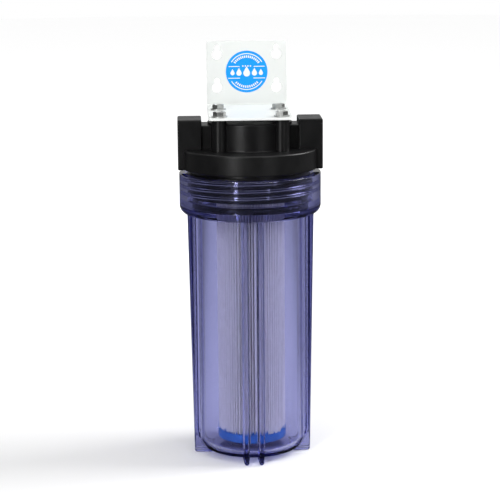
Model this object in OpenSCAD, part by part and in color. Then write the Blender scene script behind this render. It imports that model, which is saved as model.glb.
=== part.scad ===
// Inline water filter: a clear screw-on sump with a pleated cartridge under a black
// two-port head, hung from a steel wall bracket.
// The origin is on the sump's axis, at the level that its eight feet stand on.
// X runs from port to port, and the wall bracket's plate is at +Y.

/* [Cartridge] */
// Length over the end caps
cartridge_len = 247.6; // [200:0.2:320]
// Radius of the end caps
cartridge_r = 31.4; // [25:0.1:40]
// Radius of the hole through both end caps
cartridge_bore_r = 13.6; // [11:0.1:15]
// Thickness of each end cap
end_cap_t = 7; // [5:0.5:10]
// Number of pleats
pleat_count = 76; // [40:1:90]
// Thickness of the folded media
media_t = 0.45; // [0.3:0.05:0.5]
// Wall of the perforated core tube
core_wall = 1.7; // [1.2:0.1:2.2]
// Rows of windows in the core tube
core_rows = 14; // [8:1:20]
// Width of a window
window_w = 7; // [5:0.5:8]
// Height of the bar between two windows
window_bar = 5; // [3:0.5:8]

/* [Sump] */
// Radius of the bowl's bore
bowl_bore_r = 45; // [37:0.5:60]
// Thickness of the bowl's wall
bowl_wall = 4.4; // [3:0.1:6]
// Thickness of the bowl's floor
floor_t = 5.2; // [4:0.1:8]
// Inner radius of the corner between wall and floor
floor_corner_r = 7; // [3:0.5:10]
// Height of the ring that carries the cartridge, above the floor
stand_h = 5.1; // [3:0.1:8]
// Height of the post that centres the cartridge, above the floor
post_h = 17; // [10:1:25]
// Thickness of the post's four fins
fin_t = 2.5; // [1.5:0.1:4]
// Wall of the collar outside its thread
collar_wall = 7.1; // [5:0.1:9]
// Radius of the collar's rounded shoulder
shoulder_r = 8; // [4:0.5:10]
// Material under the seal groove
groove_floor_t = 6.8; // [5:0.1:9]
// Wall between the seal groove and the bore
lip_wall = 2.2; // [1.5:0.1:3]
// How far that wall stands above the groove's floor
lip_h = 4.8; // [3:0.1:5]

/* [Ribs] */
// Width of each rib
rib_w = 6.4; // [5:0.1:8]
// Half the distance between the two ribs of a pair
rib_offset = 6.7; // [5:0.1:9]
// How far a rib stands out from the wall under the collar
rib_top_out = 7.9; // [5:0.1:9]
// How far a rib stands out from the wall at its foot
rib_foot_out = 4.1; // [2:0.1:6]
// Height of the bowl's underside above the feet
foot_h = 3.8; // [2:0.1:6]
// Radius of the rounded edges along a foot
foot_r = 2.4; // [1:0.1:2.9]

/* [Seal] */
// Thickness of the O-ring's cord
oring_t = 5.4; // [4:0.1:7]
// Spare width of the groove beside the O-ring
groove_clear = 0.6; // [0.4:0.1:1.2]

/* [Thread] */
// Distance between turns
pitch = 6.35; // [5:0.05:8]
// Height of the thread
thread_h = 2.7; // [1.5:0.1:3]
// Width of a ridge at its crest
crest_w = 1.9; // [1.2:0.1:2.2]
// Width of a ridge at its root
root_w = 3.9; // [3:0.1:4]
// Turns on the head
head_turns = 2.75; // [2:0.05:3]
// Turns in the sump
sump_turns = 2.85; // [2:0.05:3]
// Gap between the two threads, at the crests
crest_clear = 0.4; // [0.3:0.05:0.6]
// Gap between the two threads, at each flank
flank_clear = 0.35; // [0.3:0.05:0.5]
// How far the sump still has to rise until it is tight
tight_travel = 3.5; // [2:0.1:6]

/* [Head] */
// Height of the round flange
ring_h = 18.3; // [14:0.1:24]
// How much smaller the flange is than the collar
ring_step = 2.5; // [0:0.1:4]
// Thickness of the deck over the wet side
deck_t = 10; // [7:0.5:14]
// Length of the skirt below the flange
skirt_len = 25.3; // [22:0.1:30]
// Length of the plain nose at the skirt's end
nose_len = 1.7; // [1:0.1:2.5]
// Radius of the central barrel
barrel_r = 38; // [34:0.5:40]
// Wall of the central barrel
barrel_wall = 4; // [3:0.1:6]
// Height of the barrel above the flange's underside
barrel_h = 42.6; // [38:0.1:45]
// Height of the tunnel between the ports above the flange's underside
tunnel_h = 39.8; // [36:0.1:44]
// Half the width of that tunnel
tunnel_half = 14.5; // [12:0.1:16]

/* [Ports] */
// Length of each port block along the pipe
port_len = 21.5; // [18:0.5:26]
// Width of each port block
port_w = 34.7; // [32:0.1:40]
// Height of each port block
port_block_h = 45.1; // [42:0.1:52]
// How far each port face stands outside the flange
port_out = 3.4; // [2:0.1:10]
// Height of the pipe axis above the flange's underside
port_h = 23; // [20:0.5:26]
// Radius of the threaded port
port_r = 12; // [9:0.1:13]
// Depth of the threaded port
port_depth = 19; // [15:0.5:20]
// Radius of the water passages
passage_r = 8; // [5:0.5:9]
// Radius of the passage that comes down beside the cartridge
inlet_r = 6; // [4:0.5:7]
// Radius of the bore up through the standpipe
standpipe_bore_r = 9; // [6:0.5:10]
// How far the standpipe reaches into the top end cap
standpipe_len = 7; // [4:0.5:12]

/* [Bracket] */
// Width of the bracket
bracket_w = 74.8; // [66:0.1:84]
// Thickness of its steel
steel_t = 2; // [1.5:0.1:3]
// Inner radius of the bend
bend_r = 2; // [1:0.5:4]
// Height of the upright plate above the flange's underside
plate_h = 61.9; // [55:0.1:80]
// Radius of the plate's and flange's corners
bracket_corner_r = 3; // [1:0.5:8]
// How far the plate's back stands behind the collar
wall_gap = 1.9; // [1:0.1:12]
// Steel in front of the front screws
flange_front = 10.5; // [8:0.5:16]
// Half the distance between the keyholes, across
keyhole_x = 27.7; // [20:0.1:30]
// Distance between the keyholes, up
keyhole_dz = 30.9; // [26:0.1:36]
// Height of the lower keyholes above the bracket's underside
keyhole_low = 18.3; // [16:0.1:20]
// Radius of a keyhole's round part
keyhole_r = 4.75; // [4:0.05:6]
// Radius of a keyhole's slot
keyhole_slot_r = 2.45; // [2:0.05:3]
// Height of the slot's end above the centre of the round part
keyhole_rise = 9.2; // [8:0.1:11]
// Radius of the round label
label_r = 19.45; // [15:0.05:21]
// Thickness of the label
label_t = 0.3; // [0.1:0.1:0.5]

/* [Screws] */
// Half the distance between the screws, across
screw_x = 27.6; // [25:0.1:30]
// Half the distance between the screws, front to back
screw_y = 28; // [25:0.1:30]
// Radius of the screw's shank
screw_r = 3; // [2.5:0.1:3.2]
// Length of the shank
screw_len = 18; // [12:0.5:22]
// Hexagon across its flats
hex_flats = 10; // [8:0.5:11]
// Height of the hexagon
hex_h = 3.8; // [3:0.1:5]
// Radius of the washer under the hexagon
washer_r = 7.1; // [6:0.1:8]
// Thickness of that washer
washer_t = 1.2; // [0.8:0.1:2]
// Radius of the columns that the screws go into
column_r = 6.75; // [5.5:0.05:7.5]
// Height of the columns above the flange's underside
column_h = 46.85; // [44:0.05:54]

/* [Hidden] */
$fn = 96;
eps = 0.5;              // how far a cutter runs past the face that it cuts
embed = 0.6;            // how far a ridge reaches into the wall that carries it
sink = 1;               // how far a wall, post or column starts inside what carries it
seat_gap = 0.3;         // gap left between pieces that close on each other
stand_gap = 0.2;        // gap between the cartridge and the ring that carries it
rim_gap = 0.5;          // gap between collar and flange when the sump is tight
nose_gap = 0.9;         // gap between the skirt's nose and the wall inside the groove
nose_step = 0.5;        // how far the nose stays inside the groove's outer wall
skirt_step = 0.7;       // how far the skirt's root lies outside the groove
thread_start = 0.35;    // plain skirt below the thread
support_out = 3.9;      // how far outside the end caps' bore the head and the stand meet them
seal_edge_t = 2.4;      // wall of the ring that seals on the cartridge
stand_t = 3;            // wall of the ring that carries the cartridge
standpipe_gap = 0.6;    // gap between the standpipe and the end cap's bore
post_gap = 0.7;         // gap between the fins and the end cap's bore
media_gap = 0.4;        // how far the folds stay inside the caps' rim and outside the core
pilot_gap = 0.1;        // gap round a screw's shank in the head
pilot_spare = 1;        // depth of a pilot hole past its screw
hole_gap = 0.3;         // gap round a screw's shank in the bracket
small_edge_r = 0.8;     // rounding of the collar's rim
tip_r = 2;              // rounding of a foot's outer end
block_edge_r = 1.2;     // rounding of the port blocks' upright edges
tunnel_inset = 1.5;     // how far the tunnel stops short of the port faces
cap_edge_r = 1.5;       // rounding of an end cap's rim
inlet_wall_gap = 4.35;  // gap between the passage that comes down and the skirt's bore
label_drop = 0.7;       // how far the label's centre lies below the middle of the keyholes

// Heights of the sump, from the feet up
floor_z = foot_h + floor_t;
cartridge_z = floor_z + stand_h + stand_gap;
collar_z = cartridge_z + cartridge_len;

// Heights of the head, which hangs over the collar until the sump is tight
ring_z = collar_z + tight_travel + rim_gap;
deck_z = ring_z + ring_h;
deck_under_z = deck_z - deck_t;
nose_z = ring_z - skirt_len;
skirt_z = nose_z + nose_len;
seal_edge_z = collar_z + tight_travel + seat_gap;
standpipe_z = seal_edge_z - standpipe_len;
port_z = ring_z + port_h;
bracket_z = ring_z + column_h;

// Heights of the seal, which the skirt's nose meets when the sump is tight
oring_top_z = nose_z - tight_travel - seat_gap;
groove_z = oring_top_z - oring_t;
ledge_z = skirt_z - tight_travel - seat_gap;
collar_under_z = groove_z - groove_floor_t;

// Radii, from the bore outwards
bowl_r = bowl_bore_r + bowl_wall;
groove_in_r = bowl_bore_r + lip_wall;
groove_out_r = groove_in_r + oring_t + groove_clear;
nose_in_r = groove_in_r + nose_gap;
nose_out_r = groove_out_r - nose_step;
skirt_r = groove_out_r + skirt_step;
thread_r = skirt_r + thread_h;
collar_bore_r = thread_r + crest_clear;
collar_r = collar_bore_r + collar_wall;
ring_r = collar_r - ring_step;
port_x = ring_r + port_out;
plate_back_y = collar_r + wall_gap;
flange_front_y = -screw_y - flange_front;

// Threads: ridge width at a radius of the head's thread, and the sump's ridge that fits between
thread_steps = 60;      // straight stretches in one turn
flank_slope = (root_w - crest_w) / thread_h;
function head_ridge_w(r) = root_w - (r - skirt_r) * flank_slope;
function sump_ridge_w(r) = pitch - head_ridge_w(r) - 2 * flank_clear;
head_thread_z = skirt_z + root_w / 2 + thread_start;
sump_thread_z = head_thread_z - pitch / 2;
sump_crest_r = skirt_r + crest_clear;

// Cartridge
media_r = cartridge_r - media_gap;
core_r = cartridge_bore_r + core_wall;
fold_in_r = core_r + media_gap;
support_r = cartridge_bore_r + support_out;
media_z = cartridge_z + end_cap_t;
media_len = cartridge_len - 2 * end_cap_t;

// Points of an arc, from one angle to another
function arc(x, y, r, from, to, n = 10) =
    [for (i = [0:n]) let (a = from + (to - from) * i / n) [x + r * cos(a), y + r * sin(a)]];

module tube(r_out, r_in, h) {
    difference() {
        cylinder(r = r_out, h = h);
        translate([0, 0, -eps]) cylinder(r = r_in, h = h + 2 * eps);
    }
}

module four_screws() {
    for (x = [-screw_x, screw_x], y = [-screw_y, screw_y]) translate([x, y, 0]) children();
}

// Rectangle in the XY plane with rounded corners, from one corner to the other
module rounded_plate(low, high, r) {
    translate([low[0] + r, low[1]]) square([high[0] - low[0] - 2 * r, high[1] - low[1]]);
    translate([low[0], low[1] + r]) square([high[0] - low[0], high[1] - low[1] - 2 * r]);
    for (x = [low[0] + r, high[0] - r], y = [low[1] + r, high[1] - r]) translate([x, y]) circle(r = r);
}

// A four-sided section swept up a right-hand helix, as points of radius and height
module helix_ridge(section, turns) {
    n = ceil(turns * thread_steps);
    m = len(section);
    points = [for (i = [0:n], p = section)
        let (a = 360 * turns * i / n) [p[0] * cos(a), p[0] * sin(a), p[1] + pitch * a / 360]];
    sides = [for (i = [0:n - 1], j = [0:m - 1])
        let (a = i * m + j, b = i * m + (j + 1) % m) each [[a, b, b + m], [a, b + m, a + m]]];
    start = [for (j = [1:m - 2]) [0, j + 1, j]];
    end = [for (j = [1:m - 2]) [n * m, n * m + j, n * m + j + 1]];
    polyhedron(points, concat(start, sides, end));
}

module head_thread() {
    base_r = skirt_r - embed;
    base_w = head_ridge_w(base_r) / 2;
    tip_w = head_ridge_w(thread_r) / 2;
    translate([0, 0, head_thread_z])
        helix_ridge([[base_r, base_w], [base_r, -base_w], [thread_r, -tip_w], [thread_r, tip_w]], head_turns);
}

module sump_thread() {
    base_r = collar_bore_r + embed;
    base_w = sump_ridge_w(base_r) / 2;
    tip_w = sump_ridge_w(sump_crest_r) / 2;
    translate([0, 0, sump_thread_z])
        helix_ridge([[sump_crest_r, tip_w], [sump_crest_r, -tip_w], [base_r, -base_w], [base_r, base_w]],
            sump_turns);
}

// Round flange with softened edges
module head_ring() {
    edge = 1;
    translate([0, 0, ring_z]) rotate_extrude() polygon(concat(
        [[0, 0]],
        arc(ring_r - edge, edge, edge, -90, 0, 4),
        arc(ring_r - edge, ring_h - edge, edge, 0, 90, 4),
        [[0, ring_h]]));
}

// Square block that takes a pipe, with its long edges rounded
module port_block() {
    translate([port_x - port_len, 0, ring_z]) linear_extrude(port_block_h)
        rounded_plate([0, -port_w / 2], [port_len, port_w / 2], block_edge_r);
}

module head_upper() {
    translate([0, 0, deck_z - sink])
        tube(barrel_r, barrel_r - barrel_wall, ring_z + barrel_h - deck_z + sink);
    translate([-port_x + tunnel_inset, -tunnel_half, deck_z - sink])
        cube([2 * (port_x - tunnel_inset), 2 * tunnel_half, ring_z + tunnel_h - deck_z + sink]);
    port_block();
    mirror([1, 0, 0]) port_block();
    translate([0, 0, deck_z - sink]) four_screws() cylinder(r = column_r, h = bracket_z - deck_z + sink);
}

// Threaded skirt that reaches into the collar, with a plain nose for the seal
module head_skirt() {
    translate([0, 0, skirt_z]) tube(skirt_r, nose_in_r, ring_z - skirt_z + sink);
    translate([0, 0, nose_z]) tube(nose_out_r, nose_in_r, nose_len + sink);
    head_thread();
}

// Ring that seals on the cartridge, and the standpipe that centres it
module head_inlet_side() {
    translate([0, 0, seal_edge_z])
        tube(support_r + seal_edge_t / 2, support_r - seal_edge_t / 2, deck_under_z - seal_edge_z + sink);
    translate([0, 0, standpipe_z])
        cylinder(r = cartridge_bore_r - standpipe_gap, h = deck_under_z - standpipe_z + sink);
}

module port_bore() {
    translate([port_x - port_depth, 0, port_z]) rotate([0, 90, 0]) cylinder(r = port_r, h = port_depth + eps);
}

module head_passages() {
    down_x = nose_in_r - inlet_r - inlet_wall_gap;
    port_bore();
    mirror([1, 0, 0]) port_bore();
    // Out: from the standpipe up and across to the +X port
    translate([0, 0, port_z]) rotate([0, 90, 0]) cylinder(r = passage_r, h = port_x - port_depth + eps);
    translate([0, 0, standpipe_z - eps]) cylinder(r = standpipe_bore_r, h = port_z - standpipe_z + eps);
    // In: from the -X port across and down into the space around the cartridge
    translate([-port_x + port_depth - eps, 0, port_z])
        rotate([0, 90, 0]) cylinder(r = passage_r, h = port_x - port_depth - down_x + eps);
    translate([-down_x, 0, deck_under_z - eps]) cylinder(r = inlet_r, h = port_z - deck_under_z + eps);
}

module head() {
    color([0.07, 0.07, 0.075]) difference() {
        union() {
            difference() {
                union() {
                    head_ring();
                    head_upper();
                }
                // Wet side under the deck
                translate([0, 0, ring_z - eps]) cylinder(r = nose_in_r, h = deck_under_z - ring_z + eps);
            }
            head_skirt();
            head_inlet_side();
        }
        head_passages();
        // Pilot holes for the bracket's screws
        translate([0, 0, bracket_z + steel_t - screw_len - pilot_spare]) four_screws()
            cylinder(r = screw_r + pilot_gap, h = screw_len + pilot_spare);
    }
}

module keyhole() {
    circle(r = keyhole_r);
    translate([-keyhole_slot_r, 0]) square([2 * keyhole_slot_r, keyhole_rise - keyhole_slot_r]);
    translate([0, keyhole_rise - keyhole_slot_r]) circle(r = keyhole_slot_r);
}

// Steel angle: a flange over the head, a bend, and an upright plate against the wall
module bracket() {
    bend_out = bend_r + steel_t;
    bend_y = plate_back_y - bend_out;
    color([0.93, 0.94, 0.93]) {
        difference() {
            translate([0, 0, bracket_z]) linear_extrude(steel_t) difference() {
                rounded_plate([-bracket_w / 2, flange_front_y],
                    [bracket_w / 2, bend_y + 2 * bracket_corner_r], bracket_corner_r);
                translate([-bracket_w, bend_y]) square([2 * bracket_w, bracket_w]);
            }
            translate([0, 0, bracket_z - eps]) four_screws()
                cylinder(r = screw_r + hole_gap, h = steel_t + 2 * eps);
        }
        translate([-bracket_w / 2, bend_y, bracket_z + bend_out]) rotate([0, 90, 0])
            linear_extrude(bracket_w) difference() {
                circle(r = bend_out);
                circle(r = bend_r);
                translate([-2 * bend_out, -bend_out]) square([2 * bend_out, 3 * bend_out]);
                translate([-eps, -2 * bend_out]) square([3 * bend_out, 2 * bend_out]);
            }
        translate([0, plate_back_y, bracket_z]) rotate([90, 0, 0]) linear_extrude(steel_t) difference() {
            rounded_plate([-bracket_w / 2, bend_out - 2 * bracket_corner_r], [bracket_w / 2, plate_h],
                bracket_corner_r);
            translate([-bracket_w, bend_out - bracket_w]) square([2 * bracket_w, bracket_w]);
            for (x = [-keyhole_x, keyhole_x], row = [0, 1])
                translate([x, keyhole_low + row * keyhole_dz]) keyhole();
        }
    }
}

// Hex head with a chamfered top and a shallow dimple, on a washer
module screw() {
    hex_r = hex_flats / 2 / cos(30);
    chamfer = 0.6;
    dimple_rim = 2.2;
    dimple_depth = 0.5;
    cone_h = 20;
    translate([0, 0, -screw_len]) cylinder(r = screw_r, h = screw_len);
    cylinder(r = washer_r, h = washer_t);
    difference() {
        intersection() {
            cylinder(r = hex_r, h = washer_t + hex_h, $fn = 6);
            translate([0, 0, washer_t + hex_h - cone_h])
                cylinder(r1 = hex_r - chamfer + cone_h, r2 = hex_r - chamfer, h = cone_h);
        }
        translate([0, 0, washer_t + hex_h - dimple_depth])
            cylinder(r = hex_r - dimple_rim, h = dimple_depth + eps);
    }
}

module bracket_screws() {
    color([0.72, 0.72, 0.7]) translate([0, 0, bracket_z + steel_t]) four_screws() screw();
}

module label() {
    label_z = bracket_z + keyhole_low + keyhole_dz / 2 - label_drop;
    color([0.14, 0.56, 0.96]) translate([0, plate_back_y - steel_t, label_z])
        rotate([90, 0, 0]) cylinder(r = label_r, h = label_t);
}

// Half section of the bowl and its collar
module sump_profile() {
    corner_out = floor_corner_r + bowl_wall;
    fillet = 2;
    polygon(concat(
        [[0, foot_h]],
        arc(bowl_r - corner_out, foot_h + corner_out, corner_out, -90, 0),
        arc(bowl_r + fillet, collar_under_z - fillet, fillet, 180, 90, 4),
        arc(collar_r - shoulder_r, collar_under_z + shoulder_r, shoulder_r, -90, 0),
        arc(collar_r - small_edge_r, collar_z - small_edge_r, small_edge_r, 0, 90, 4),
        [
            [collar_bore_r, collar_z],
            [collar_bore_r, ledge_z],
            [groove_out_r, ledge_z],
            [groove_out_r, groove_z],
            [groove_in_r, groove_z],
            [groove_in_r, groove_z + lip_h],
            [bowl_bore_r, groove_z + lip_h],
        ],
        arc(bowl_bore_r - floor_corner_r, floor_z + floor_corner_r, floor_corner_r, 0, -90),
        [[0, floor_z]]));
}

// One rib: its side view and its rounded front view, crossed
module rib() {
    root_r = bowl_bore_r + bowl_wall / 2;
    top_r = bowl_r + rib_top_out;
    foot_out_r = bowl_r + rib_foot_out;
    in_r = bowl_r - floor_corner_r - bowl_wall;
    top_z = collar_under_z + sink;
    step_z = foot_h + sink;
    intersection() {
        rotate([90, 0, 0]) translate([0, 0, -rib_w / 2]) linear_extrude(rib_w) polygon(concat(
            [[in_r - foot_h, step_z], [in_r, 0]],
            arc(foot_out_r - tip_r, tip_r, tip_r, -90, 0, 5),
            [[top_r, top_z], [root_r, top_z], [root_r, foot_h + floor_corner_r + bowl_wall],
                [in_r, step_z]]));
        rotate([90, 0, 90]) translate([0, 0, in_r - step_z]) linear_extrude(top_r)
            rounded_plate([-rib_w / 2, 0], [rib_w / 2, collar_z], foot_r);
    }
}

module sump_ribs() {
    for (side = [0:90:270], offset = [-rib_offset, rib_offset])
        rotate([0, 0, side]) translate([0, offset, 0]) rib();
}

// Ring that carries the cartridge, and four fins that centre it
module sump_stand() {
    fin_r = cartridge_bore_r - post_gap;
    fin_chamfer = 4;
    cone_h = post_h + 2 * sink;
    translate([0, 0, floor_z - sink]) tube(support_r + stand_t / 2, support_r - stand_t / 2, stand_h + sink);
    intersection() {
        translate([0, 0, floor_z - sink]) union() {
            translate([-fin_r, -fin_t / 2, 0]) cube([2 * fin_r, fin_t, post_h + sink]);
            translate([-fin_t / 2, -fin_r, 0]) cube([fin_t, 2 * fin_r, post_h + sink]);
        }
        translate([0, 0, floor_z - 2 * sink])
            cylinder(r1 = fin_r - fin_chamfer + cone_h, r2 = fin_r - fin_chamfer, h = cone_h);
    }
}

module sump() {
    color([0.5, 0.5, 0.8, 0.45]) {
        rotate_extrude() sump_profile();
        sump_ribs();
        sump_stand();
        sump_thread();
    }
}

module sump_oring() {
    color([0.05, 0.05, 0.05]) translate([0, 0, groove_z + oring_t / 2])
        rotate_extrude() translate([(groove_in_r + groove_out_r) / 2, 0]) circle(r = oring_t / 2);
}

// One face of the folded sheet: its tips and its valleys, each as wide as the fold there
function folds(tip_r, tip_half, valley_r, valley_half) = [
    for (k = [0:pleat_count - 1], p = [[tip_r, -tip_half, 0], [tip_r, tip_half, 0],
            [valley_r, -valley_half, 0.5], [valley_r, valley_half, 0.5]])
        let (a = (k + p[2]) * 360 / pleat_count + asin(p[1] / p[0])) p[0] * [cos(a), sin(a)]];

module folded_sheet() {
    slit = 0.05;
    difference() {
        polygon(folds(media_r, media_t + slit, fold_in_r + media_t, slit));
        polygon(folds(media_r - media_t, slit, fold_in_r, media_t + slit));
    }
}

module cartridge_media() {
    color([0.92, 0.92, 0.94]) translate([0, 0, media_z]) linear_extrude(media_len) folded_sheet();
}

// Tube with rows of windows, which hold the media apart and let the water in
module cartridge_core() {
    row_step = media_len / core_rows;
    color([0.95, 0.95, 0.95]) translate([0, 0, media_z]) difference() {
        tube(core_r, cartridge_bore_r, media_len);
        for (row = [0:core_rows - 1], turn = [0:45:135])
            translate([0, 0, row_step * (row + 0.5)]) rotate([0, 0, turn])
                cube([2 * core_r + 2 * eps, window_w, row_step - window_bar], center = true);
    }
}

module end_cap() {
    rotate_extrude() polygon(concat(
        [[cartridge_bore_r, 0]],
        arc(cartridge_r - cap_edge_r, cap_edge_r, cap_edge_r, -90, 0, 5),
        [[cartridge_r, end_cap_t], [cartridge_bore_r, end_cap_t]]));
}

module cartridge_bottom_cap() {
    color([0.16, 0.33, 0.62]) translate([0, 0, cartridge_z]) end_cap();
}

module cartridge_top_cap() {
    color([0.16, 0.33, 0.62]) translate([0, 0, collar_z]) mirror([0, 0, 1]) end_cap();
}

head();
bracket();
bracket_screws();
label();
sump();
sump_oring();
cartridge_media();
cartridge_core();
cartridge_top_cap();
cartridge_bottom_cap();
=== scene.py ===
"""Looks of an inline water filter.

A clear violet bowl screws up into a black two-port head. It holds a pleated cartridge,
and the head hangs from a white steel wall bracket. The origin is on the bowl's axis at the
level that its feet stand on, -Y is the front, and all lengths are in metres.
"""

import math
import random

import bmesh
import bpy
from mathutils import Matrix, Vector


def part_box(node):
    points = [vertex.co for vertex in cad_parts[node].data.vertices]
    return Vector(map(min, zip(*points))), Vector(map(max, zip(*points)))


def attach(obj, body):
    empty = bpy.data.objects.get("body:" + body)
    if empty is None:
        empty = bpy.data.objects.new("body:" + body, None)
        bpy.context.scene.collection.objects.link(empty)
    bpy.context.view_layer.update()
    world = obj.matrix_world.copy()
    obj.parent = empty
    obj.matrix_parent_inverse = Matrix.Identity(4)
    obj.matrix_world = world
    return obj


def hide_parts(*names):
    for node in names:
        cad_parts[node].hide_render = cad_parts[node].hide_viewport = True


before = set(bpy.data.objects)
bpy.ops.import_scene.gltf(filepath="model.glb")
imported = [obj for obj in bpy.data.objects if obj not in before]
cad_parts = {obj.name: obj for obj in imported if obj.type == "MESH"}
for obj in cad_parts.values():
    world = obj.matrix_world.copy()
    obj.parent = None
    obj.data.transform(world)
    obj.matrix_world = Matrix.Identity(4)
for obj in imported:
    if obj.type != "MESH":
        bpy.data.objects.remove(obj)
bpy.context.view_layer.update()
random.seed(7)

MM = 0.001
TINY = 1e-6             # a length too small to show
SPIN = 192              # facets round a large turned piece
MIDDLE_SPIN = 96        # facets round a piece as wide as a port
SMALL_SPIN = 48         # facets round a screw or a column
NOISE_LOW = 0.3         # a noise stays between these two most of the time
NOISE_HIGH = 0.7
NOISE_ROUGHNESS = 0.55

# ---------------------------------------------------------------------------
# Sizes, from the frame where it holds them
# ---------------------------------------------------------------------------
SUMP_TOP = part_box("sump")[1]
HEAD_LOW, HEAD_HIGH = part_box("head")
SCREWS_LOW, SCREWS_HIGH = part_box("bracket_screws")
LABEL_LOW, LABEL_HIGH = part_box("label")
SEAL_LOW, SEAL_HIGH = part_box("sump_oring")
MEDIA_LOW, MEDIA_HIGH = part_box("cartridge_media")
LOW_CAP_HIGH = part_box("cartridge_bottom_cap")[1]
CORE_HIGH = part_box("cartridge_core")[1]

# Bowl
COLLAR_R = SUMP_TOP.x
COLLAR_Z = SUMP_TOP.z
BORE_R = 45 * MM
BOWL_R = 49.4 * MM
FOOT_H = 3.8 * MM
FLOOR_Z = 9.0 * MM
CORNER_IN = 7 * MM
CORNER_OUT = 11.4 * MM
SHOULDER_R = 8 * MM
COLLAR_BORE_R = 57.0 * MM
LIP_R = 47.2 * MM
GROOVE_R = 53.2 * MM
GROOVE_Z = SEAL_LOW.z
LIP_H = 4.8 * MM
GROOVE_FLOOR = 6.8 * MM
COLLAR_UNDER_Z = GROOVE_Z - GROOVE_FLOOR
RIB_W = 6.4 * MM
RIB_OFFSET = 6.7 * MM
RIB_TOP_R = 57.3 * MM
RIB_FOOT_R = 53.5 * MM
RIB_NOSE = 2.0 * MM
RIB_DRAFT = 1.0 * MM
RIB_FILLET = 1.2 * MM
RIB_FILLET_STEPS = 4
STAND_R = 17.5 * MM
STAND_WALL = 3 * MM
STAND_TOP = 14.1 * MM
FIN_T = 2.5 * MM
FIN_R = 12.9 * MM
POST_TOP = 26 * MM

# Head
PORT_X = HEAD_HIGH.x
BRACKET_Z = HEAD_HIGH.z
NOSE_Z = HEAD_LOW.z
RING_Z = NOSE_Z + 25.3 * MM
SKIRT_Z = NOSE_Z + 1.7 * MM
LEDGE_Z = SKIRT_Z - 3.8 * MM
DECK_Z = RING_Z + 18.3 * MM
DECK_T = 10 * MM
RING_R = 61.6 * MM
SKIRT_R = 53.9 * MM
NOSE_R = 52.7 * MM
SKIRT_BORE_R = 48.1 * MM
BARREL_R = 38 * MM
BARREL_WALL = 4 * MM
BARREL_Z = RING_Z + 42.6 * MM
TUNNEL_Z = RING_Z + 39.8 * MM
TUNNEL_HALF = 14.5 * MM
BLOCK_LEN = 21.5 * MM
BLOCK_HALF = 17.35 * MM
BLOCK_Z = RING_Z + 45.1 * MM
COLUMN_R = 6.75 * MM
PORT_Z = RING_Z + 23 * MM
PORT_R = 12 * MM
PORT_DEPTH = 19 * MM
PASSAGE_R = 8 * MM
DOWN_X = 37.75 * MM
STANDPIPE_R = 13 * MM
STANDPIPE_Z = 258.7 * MM
SEAL_EDGE_Z = 265.7 * MM

# Thread between head and bowl
PITCH = 6.35 * MM
HEAD_THREAD_R = 56.6 * MM
BOWL_THREAD_R = 54.3 * MM
HEAD_THREAD_Z = SKIRT_Z + 2.3 * MM
BOWL_THREAD_Z = HEAD_THREAD_Z - PITCH / 2
HEAD_TURNS = 2.75
BOWL_TURNS = 2.85
THREAD_SINK = 0.6 * MM

# Screws
SCREW_R = 3 * MM
WASHER_R = 7.1 * MM
WASHER_T = 1.2 * MM
HEX_R = 5.77 * MM
SCREW_X = SCREWS_HIGH.x - WASHER_R
SCREW_Y = SCREWS_HIGH.y - WASHER_R
BRACKET_T = 2 * MM
SCREW_SEAT_Z = BRACKET_Z + BRACKET_T

# Label
PRINT_DEPTH = 0.03 * MM

# Cartridge
CARTRIDGE_R = LOW_CAP_HIGH.x
MEDIA_R = MEDIA_HIGH.x
CAP_BORE_R = 13.6 * MM
PLEATS = 76
SHEET_T = 0.45 * MM
SLIT = 0.06 * MM        # half the gap that a fold leaves between its two walls
TOOTH_LOW = 0.6 * MM
TOOTH_HIGH = 5.4 * MM

# Stage. "Through" is what shows through the bowl, "gloss" is what reflections show.
FLOOR_R = 6
FLOOR_WHITE = 0.9
FLOOR_THROUGH_MIDDLE = 0.8
FLOOR_THROUGH_SIDES = 0.32
FLOOR_THROUGH_FRONT = 0.2
FLOOR_GLOSS = 0.035
FLOOR_FAR_GLOW = 0.45
WORLD_LIGHT_LOW = 0.45
WORLD_LIGHT_HIGH = 0.6
WORLD_THROUGH_MIDDLE = 0.84
WORLD_THROUGH_SIDES = 0.28
WORLD_GLOSS = 0.015
WORLD_GLOSS_BACK = 0.5
WORLD_GLOSS_TOP = 0.6
BOUNCE_FRONT = 4.6
BOUNCE_ROUND = 1.6
SIDES_START = 0.08      # where the grey sides begin, in metres on the floor, as a direction in the world
SIDES_END = 0.4
LIGHTS_AIM_Z = 0.18

# Camera, solved from the photograph
LENS = 127.4
SENSOR = 36
CAMERA_AZIMUTH = -2.03
CAMERA_ELEVATION = 11.38
CAMERA_ROLL = -0.48
CAMERA_DISTANCE = 1.6175
CAMERA_TARGET = Vector((-0.00056, 0, 0.18901))

# ---------------------------------------------------------------------------
# Mesh helpers
# ---------------------------------------------------------------------------


def arc(x, y, r, start, end, steps=10):
    """Points of an arc in a plane, from one angle to another in degrees."""
    angles = [math.radians(start + (end - start) * i / steps) for i in range(steps + 1)]
    return [(x + r * math.cos(a), y + r * math.sin(a)) for a in angles]


def add(name, bm):
    """Turns a bmesh into an object in the scene."""
    bmesh.ops.recalc_face_normals(bm, faces=bm.faces)
    mesh = bpy.data.meshes.new(name)
    bm.to_mesh(mesh)
    bm.free()
    obj = bpy.data.objects.new(name, mesh)
    bpy.context.scene.collection.objects.link(obj)
    return obj


def bridge(bm, one, two):
    """Band of faces between two closed loops that have the same number of points."""
    for i in range(len(one)):
        j = (i + 1) % len(one)
        bm.faces.new((one[i], one[j], two[j], two[i]))


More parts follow.
